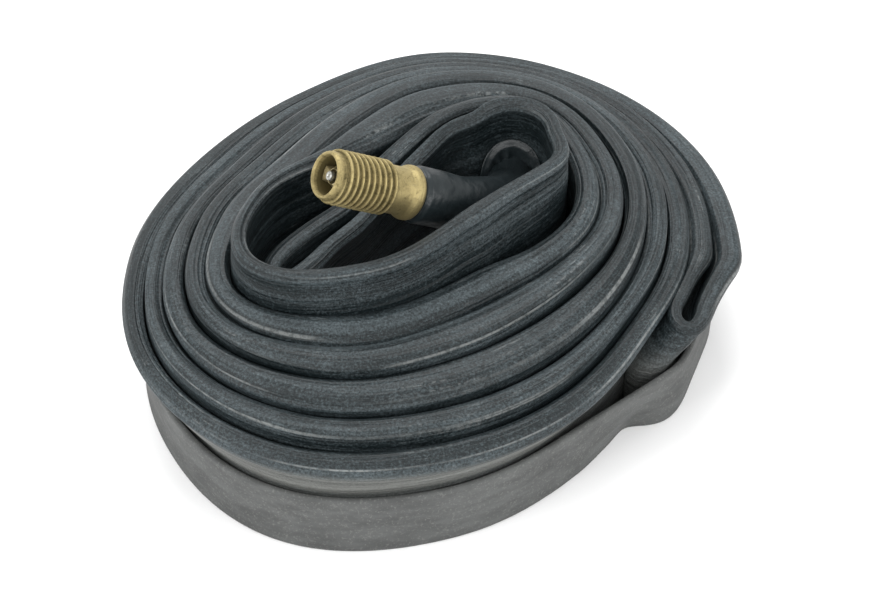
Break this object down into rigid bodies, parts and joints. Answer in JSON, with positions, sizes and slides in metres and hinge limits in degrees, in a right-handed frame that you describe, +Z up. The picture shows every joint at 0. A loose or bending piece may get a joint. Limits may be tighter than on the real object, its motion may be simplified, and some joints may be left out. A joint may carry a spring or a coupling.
{
  "type": "bicycle inner tube",
  "caption": "Emptied butyl inner tube rolled up double, with a threaded brass car-type valve rising out of the middle and a rubber band stretched round its foot",
  "frame": {"origin": "middle of the bounding box's footprint, on the surface that the roll stands on", "axes": "+Z up, out of the top of the roll; +X to the right and -Y to the front as the roll is usually seen, with the valve's mouth pointing up and to -X"},
  "size_m": [0.0876, 0.0878, 0.0405],
  "materials": {
    "butyl": "matt slate-grey butyl with pale talc scuffs along its folds",
    "band_rubber": "matt warm-grey rubber, dusty",
    "valve_rubber": "smooth moulded black rubber, slightly glossy",
    "stem_brass": "pale machined brass with a cut thread",
    "core_brass": "turned brass, dulled",
    "seal_rubber": "black sealing rubber",
    "pin_steel": "plain steel, satin"
  },
  "bodies": {
    "roll": {"tube": "butyl", "rubber_band": "band_rubber", "valve_rubber": "valve_rubber", "valve_stem": "stem_brass", "core_plug": "core_brass", "core_barrel": "core_brass", "core_seal_ring": "seal_rubber", "pin_spring": "pin_steel"},
    "pin": {"core_pin": "pin_steel", "pin_cup": "core_brass", "pin_seal": "seal_rubber"}
  },
  "joints": [
    {"name": "pin_press", "type": "slide", "parent": "roll", "child": "pin", "axis": [0.7716, 0.3398, -0.5377], "range_m": [0, 0.0012], "stiffness_N_per_m": 700, "springref_m": -0.003, "deforming": ["pin_spring"]}
  ]
}
